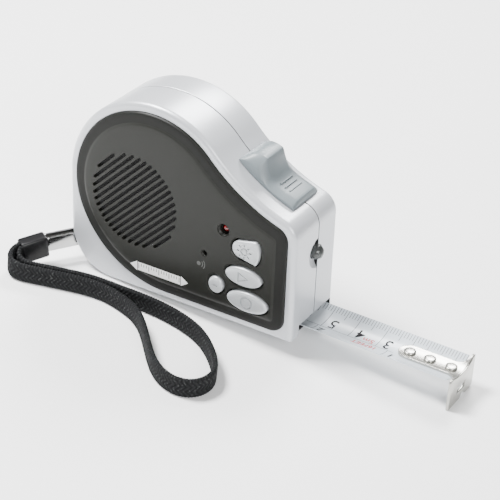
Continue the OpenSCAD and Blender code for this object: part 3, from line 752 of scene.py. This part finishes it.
def make_lights():
    led_r, led_h = 1.5, 2.7
    tip = [(led_r * math.cos(t), led_h + led_r * math.sin(t)) for t in np.linspace(0.15, 1.5, 10)]
    led = turned("record_lens", [(led_r, 0), (led_r, led_h)] + tip, (LED_AT[0], -9.3, LED_AT[1]), (0, -1, 0),
                 ["red"])
    place(led, "case", "red_led", "record_led")
    at = (FRONT_X, PART, LAMP_Z)
    dome = [(LAMP_R * math.cos(t), -0.4 + LAMP_R * math.sin(t)) for t in np.linspace(0.02, 1.52, 16)]
    foot = [(2.4, -6.2), (2.4, -5.4), (LAMP_R, -5.3)]
    lens = turned("lamp_lens", foot + dome, at, (1, 0, 0), ["clear"], 64)
    cup = join("cup", [
        turned("cup", [(0.9, -4.4), (1.5, -2.6), (1.3, -2.6), (0.5, -3.6)], at, (1, 0, 0), ["polished"], 32),
        turned("socket", [(0.2, -6.5), (2.6, -6.5), (2.6, -6.3), (0.2, -6.3)], at, (1, 0, 0), ["black"], 32)])
    half = 0.25
    posts = []
    for y in (PART - 1.3, PART + 1.3):
        low, high = (FRONT_X - 9, y - half, LAMP_Z - half), (FRONT_X - 3.6, y + half, LAMP_Z + half)
        posts.append(box("post", low, high, ["steel"]))
    place(join("lamp_inside", [cup] + posts), "case", "small_steel")
    place(lens, "case", "clear_lamp", "lamp_led", smooth_angle=50)


make_lights()

# ---- lock -------------------------------------------------------------------------------------


def on_waist(h, a):
    """The point at height h over the hollow of the waist, at that angle."""
    return WAIST_C + (WAIST_R - h) * unit(a)


def make_lock():
    a0, a1 = 229.2, 251.2
    base = arc(WAIST_C, WAIST_R - 0.25, a1, a0, 24)
    # the cap's profile, as heights over the waist and angles from its upper to its lower end
    crest = [(1.4, a0 - 0.1), (2.8, a0 + 0.35), (4.2, a0 + 1), (5.1, a0 + 1.6), (5.8, a0 + 2.5),
             (6.5, a0 + 3.9), (6.8, a0 + 5), (6.85, a0 + 5.6), (6.5, a0 + 6.2), (5.3, a0 + 7.6),
             (4.1, a0 + 9), (2.9, a0 + 10.6), (2.35, a0 + 11.7), (2.15, a0 + 13), (2.15, a0 + 15),
             (2.3, a0 + 17), (2.55, a1 - 1.8), (2.4, a1 - 1), (1.9, a1 - 0.45), (1, a1 - 0.05)]

    def slice_at(y, full):
        return xz(list(base) + [on_waist(0.25 + (h - 0.25) * full, a) for h, a in crest], y)

    low, high = LOCK_Y - LOCK_HALF, LOCK_Y + LOCK_HALF
    fullness = ((low, 0.42), (low + 0.35, 0.55), (low + 2.3, 0.93), (low + 3.0, 1), (high - 2.6, 1),
                (high - 2.0, 0.94), (high - 0.35, 0.6), (high, 0.48))
    rings = [slice_at(y, full) for y, full in fullness]
    cap = loft("lock_cap", rings, ["lock"])
    bevel(cap, 0.35, 3, 28)
    stem = sector(WAIST_R - 0.4, WAIST_R + 3.2, 235.5, 248.4)
    parts = [cap, prism("stem", stem, LOCK_Y - 5.7, LOCK_Y + 5.7, ["lock"])]
    # plain raised grip bars on the front ramp
    for a in (a0 + 13.6, a0 + 15.4, a0 + 17.2):
        section = ((2.0, -0.3), (2.0, 0.3), (2.62, 0.14), (2.62, -0.14))
        bar = [on_waist(h, a + off) for h, off in section]
        parts.append(prism("grip", bar, LOCK_Y - 3.4, LOCK_Y + 3.8, ["lock"]))
    place(join("lock_slider", parts), "lock", "lock_grey", "lock_button", smooth_angle=40)


make_lock()

# ---- blade and hook ---------------------------------------------------------------------------

BLADE_W, SAG, BLADE_TH = 17.4, 2.2, 0.25
BLADE_R = (BLADE_W ** 2 / 4 + SAG ** 2) / (2 * SAG)
ALONG = SEAT @ BLADE_AT
BLADE_IN, HOOK_TH = -19.0, 0.9
RIVETS = [BLADE_OUT - 18.8, BLADE_OUT - 11.7, BLADE_OUT - 4.2]
TICK_W, INK_LOW, INK_HIGH, INCH = 0.16, 0.004, 0.03, 25.4


def on_blade(x, y, h):
    """The point at x along and y across the blade, h over its upper face."""
    r = BLADE_R - BLADE_TH - h
    a = y / BLADE_R
    return (x, r * math.sin(a), BLADE_R - r * math.cos(a))


def patch(name, outline_rows, h0, h1, materials):
    """A thin piece that follows the blade's hollow. Each row is (x, y from, y to)."""
    points, faces, n = [], [], 12
    for h in (h0, h1):
        for x, y0, y1 in outline_rows:
            points += [on_blade(x, y, h) for y in np.linspace(y0, y1, n)]
    rows = len(outline_rows)
    half = rows * n
    for i in range(rows - 1):
        for k in range(n - 1):
            a = i * n + k
            faces.append((a, a + 1, a + n + 1, a + n))
            faces.append((half + a, half + a + n, half + a + n + 1, half + a + 1))
        for k in (0, n - 1):
            a = i * n + k
            faces.append((a, a + n, half + a + n, half + a))
    for i in (0, rows - 1):
        for k in range(n - 1):
            a = i * n + k
            faces.append((a, half + a, half + a + 1, a + 1))
    return mesh_object(name, points, faces, materials, ALONG)


def ticks_tree():
    """Marks repeated along the blade: a line of points, each with an instance of the mark that comes in."""
    tree = bpy.data.node_groups.new("ticks", "GeometryNodeTree")
    face = tree.interface
    face.new_socket("Geometry", in_out="INPUT", socket_type="NodeSocketGeometry")
    for name, kind in (("Count", "Int"), ("Step", "Vector"), ("Ink", "Material")):
        face.new_socket(name, in_out="INPUT", socket_type="NodeSocket" + kind)
    face.new_socket("Geometry", in_out="OUTPUT", socket_type="NodeSocketGeometry")
    nodes, links = tree.nodes, tree.links
    start, end = nodes.new("NodeGroupInput"), nodes.new("NodeGroupOutput")
    line, spread = nodes.new("GeometryNodeMeshLine"), nodes.new("GeometryNodeInstanceOnPoints")
    real, ink = nodes.new("GeometryNodeRealizeInstances"), nodes.new("GeometryNodeSetMaterial")
    links.new(start.outputs["Count"], line.inputs["Count"])
    links.new(start.outputs["Step"], line.inputs["Offset"])
    links.new(line.outputs["Mesh"], spread.inputs["Points"])
    links.new(start.outputs["Geometry"], spread.inputs["Instance"])
    links.new(spread.outputs["Instances"], real.inputs["Geometry"])
    links.new(real.outputs["Geometry"], ink.inputs["Geometry"])
    links.new(start.outputs["Ink"], ink.inputs["Material"])
    links.new(ink.outputs["Geometry"], end.inputs["Geometry"])
    return tree


TICKS = ticks_tree()


def repeat(obj, count, step_mm):
    """Repeats a mark down the blade, towards the case. Marks are drawn in the blade's own frame."""
    change = obj.modifiers.new("ticks", "NODES")
    change.node_group = TICKS
    ids = {item.name: item.identifier for item in TICKS.interface.items_tree if item.in_out == "INPUT"}
    change[ids["Count"]] = count
    change[ids["Step"]] = (-step_mm, 0.0, 0.0)
    change[ids["Ink"]] = obj.data.materials[0]
    return bake_modifiers(obj)


def tick(x, y0, y1):
    rows = [(x - TICK_W / 2, y0, y1), (x + TICK_W / 2, y0, y1)]
    return patch("tick", rows, INK_LOW, INK_HIGH, ["ink_dark"])


def digits(text, x, y, size, turn, key, squeeze=1.0):
    """Figures printed on the blade, bent to its hollow."""
    curve = bpy.data.curves.new("digits", "FONT")
    curve.body, curve.size, curve.align_x, curve.align_y = text, size, "CENTER", "CENTER"
    curve.extrude, curve.offset = 0.02, size * 0.005
    holder = bpy.data.objects.new("digits", curve)
    bpy.context.scene.collection.objects.link(holder)
    bpy.context.view_layer.update()
    mesh = bpy.data.meshes.new_from_object(holder.evaluated_get(bpy.context.evaluated_depsgraph_get()))
    bpy.data.objects.remove(holder)
    bpy.data.curves.remove(curve)
    c, s = math.cos(math.radians(turn)), math.sin(math.radians(turn))
    for v in mesh.vertices:
        px, py = v.co.x * squeeze, v.co.y
        v.co = on_blade(x + c * px - s * py, y + s * px + c * py, 0.02 + v.co.z)
    mesh.materials.clear()
    mesh.materials.append(MATERIAL[key])
    b = bmesh.new()
    b.from_mesh(mesh)
    bmesh.ops.remove_doubles(b, verts=b.verts, dist=0.002)
    bmesh.ops.recalc_face_normals(b, faces=b.faces)
    b.to_mesh(mesh)
    b.free()
    made = bpy.data.objects.new("digits", mesh)
    bpy.context.scene.collection.objects.link(made)
    made["seat"] = [v for row in ALONG for v in row]
    return made


def make_blade():
    half = BLADE_W / 2 - 0.02
    end = BLADE_OUT - 2 * HOOK_TH - 0.1
    xs = np.linspace(BLADE_IN, end, 15)
    strip = patch("blade_tape", [(x, -half, half) for x in xs], -BLADE_TH, 0, ["blade"])
    place(strip, "blade", "blade_white", "blade_strip", smooth_angle=30)
    zero, far, line_y = BLADE_OUT, half - 0.1, -2.6
    reach = int(zero - BLADE_IN) - 1
    marks = [repeat(tick(zero - 2, far - 2.6, far), reach - 2, 1),
             repeat(tick(zero - 5, far - 4.3, far), reach // 5, 5),
             repeat(tick(zero - 10, line_y, far), reach // 10, 10)]
    line = [(x, line_y - 0.07, line_y + 0.07) for x in np.linspace(BLADE_IN, zero - 23.4, 8)]
    marks.append(patch("line", line, INK_LOW, INK_HIGH, ["ink_dark"]))
    marks += [tick(zero - INCH * k, -half + 0.1, line_y) for k in (1, 2)]
    # the figures' heads point to the near edge
    for k in range(1, 7):
        marks.append(digits(str(k), zero - 10 * k + 3.1, 0.7, 7.0, 180, "ink_dark", 0.85))
    for k in (1, 2):
        marks.append(digits(str(k), zero - INCH * k + 2.4, -5.8, 5.2, 180, "ink_dark"))
    place(join("blade_print", marks), "blade", "blade_white", smooth_angle=30)
    red = [digits("5m", zero - 33.2, -0.9, 3.3, 180, "ink_red"),
           digits("16FEET", zero - 33, -4.7, 3.4, 180, "ink_red", 0.85)]
    place(join("blade_capacity", red), "blade", "blade_white", smooth_angle=30)


make_blade()


def make_hook():
    z0 = BLADE_TH + 0.05
    tip = -HOOK_DROP - BLADE_Z + BLADE_OUT * math.sin(DIP)
    half, width, plate = 3.8, BLADE_W / 2, HOOK_TH
    start = BLADE_OUT - 22.6
    rows = [(start + half * (1 - math.cos(t)), -half * math.sin(t), half * math.sin(t))
            for t in np.linspace(0.12, math.pi / 2, 9)]
    rows += [(x, -half, half) for x in np.linspace(start + half + 2, BLADE_OUT - 4.4, 6)]
    for t in np.linspace(0.15, 1, 6):
        flare = half + (width - 0.6 - half) * t ** 2.4
        rows.append((BLADE_OUT - 4.4 + (4.4 - plate / 2) * t, -flare, flare))
    tongue = patch("tongue", rows, 0.05, 0.8, ["nickel"])
    bevel(tongue, 0.14, 2, 40)
    # the hook's face: its lower edge with the notch, the far side, the upper edge, the near side
    outline = [(-width, tip), (-0.6, tip), (0.1, tip + 0.4), (1.0, tip + 1.5), (1.8, tip + 1.7),
               (2.6, tip + 1.5), (3.4, tip + 0.3), (4.0, tip), (width - 1.2, tip), (width - 0.3, tip + 0.6),
               (width, tip + 1.6), (width, SAG + 0.6), (width - 0.3, SAG + 1.0), (width - 1.2, SAG + 0.6),
               (width - 2.6, SAG - 0.35), (width - 4.4, SAG - 1.0), (2, z0 + 0.6), (-2, z0 + 0.6),
               (-width + 4.4, SAG - 1.0), (-width + 2.6, SAG - 0.4), (-width + 1, SAG + 0.1),
               (-width + 0.3, SAG - 0.2), (-width, SAG - 0.8)]
    faces = [[(x - 0.02, y, z) for y, z in outline] for x in (BLADE_OUT - plate, BLADE_OUT)]
    foot = loft("foot", faces, ["nickel"], matrix=ALONG)
    corners = ((-3.2, tip + 3.4), (2.6, tip + 3.4), (3.2, tip + 5.4), (-2.6, tip + 5.4))
    ends = [[(x, y, z) for y, z in corners] for x in (BLADE_OUT - 3, BLADE_OUT + 3)]
    slot = loft("slot", ends, ["nickel"], matrix=ALONG)
    carve(foot, [slot])
    bevel(foot, 0.2, 3, 40)
    place(join("hook_plate", [tongue, foot]), "hook", "hook_nickel", "end_hook", smooth_angle=40)
    top = 0.85 + BLADE_TH
    profile = [(1.1, 0.02), (1.1, top), (1.8, top + 0.01), (1.95, top + 0.12), (2, top + 0.4),
               (1.92, top + 0.6), (1.7, top + 0.72), (1, top + 0.79), (0.02, top + 0.82)]
    heads = [turned("rivet", profile, (x, 0, 0), (0, 0, 1), ["nickel"], 40, ALONG) for x in RIVETS]
    place(join("rivet_heads", heads), "blade", "hook_nickel", "hook_rivets", smooth_angle=45)


make_hook()

# ---- ring and inner pieces --------------------------------------------------------------------


def stretched_ring(length, r):
    return np.array(arc((length, 0), r, -90, 90, 20) + arc((0, 0), r, 90, 270, 20))


def make_ring():
    turn = Matrix.Rotation(math.radians(180 + RING_TURN), 4, "Z")
    at = SEAT @ Matrix.Translation((*RING_AT, RING_Z)) @ turn
    length, r, band, half = 19.9, 1.85, 0.7, 2.6
    outer, inner = stretched_ring(length, r), stretched_ring(length, r - band)
    rings = [[(x, y, z) for x, y in edge]
             for edge, z in ((outer, -half), (outer, half), (inner, half), (inner, -half))]
    ring = loft("ring_band", rings, ["polished"], matrix=at, close_round=True)
    bevel(ring, 0.22, 3, 40)
    place(ring, "case", "ring_steel", "strap_ring", smooth_angle=40)


make_ring()

CAD_LOOKS = {
    "button_mat": "rubber", "tact_switches": "black", "circuit_board": "board", "board_chips": "black",
    "microphone": "steel", "speaker_gauze": "gauze", "speaker_frame": "steel", "speaker_cone": "black",
    "speaker_magnet": "steel", "speaker_leads": "lead", "lamp_leads": "lead", "battery_holder": "white",
    "button_cells": "steel", "battery_spring": "steel", "battery_door": "silver", "reel_divider": "white",
    "spindle": "steel", "reel_drum": "white", "mainspring": "steel", "blade_coil": "blade",
    "brake_arm": "steel", "brake_pad": "black", "case_screws": "steel", "strap_pin": "steel",
}
for node, key in CAD_LOOKS.items():
    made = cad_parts[node].data
    made.materials.clear()
    made.materials.append(MATERIAL[key])

# ---- floor and light --------------------------------------------------------------------------


LIT_POINT = Vector((0.02, 0, 0.03))


def area_light(name, at, size, power):
    data = bpy.data.lights.new(name, "AREA")
    data.shape, data.size, data.energy = "DISK", size, power
    light = bpy.data.objects.new(name, data)
    light.location = at
    light.rotation_euler = (LIT_POINT - Vector(at)).to_track_quat("-Z", "Y").to_euler()
    bpy.context.scene.collection.objects.link(light)


def make_stage():
    pale = Graph("floor").set(Base_Color=rgba(0.9, 0.9, 0.9), Roughness=0.6, Specular_IOR_Level=0.2)
    mesh = bpy.data.meshes.new("floor")
    mesh.from_pydata([(-3, -3, 0), (3, -3, 0), (3, 3, 0), (-3, 3, 0)], [], [(0, 1, 2, 3)])
    mesh.materials.append(pale)
    floor = bpy.data.objects.new("floor", mesh)
    bpy.context.scene.collection.objects.link(floor)
    world = bpy.data.worlds.new("world")
    world.use_nodes = True
    sky = world.node_tree.nodes["Background"].inputs
    sky["Color"].default_value, sky["Strength"].default_value = rgba(1, 1, 1), 0.35
    bpy.context.scene.world = world
    area_light("key", (-0.34, -0.12, 0.62), 0.25, 17.0)
    area_light("fill", (0.55, -0.5, 0.45), 0.45, 7.0)
    area_light("rim", (-0.1, 0.5, 0.55), 0.3, 9.0)


make_stage()
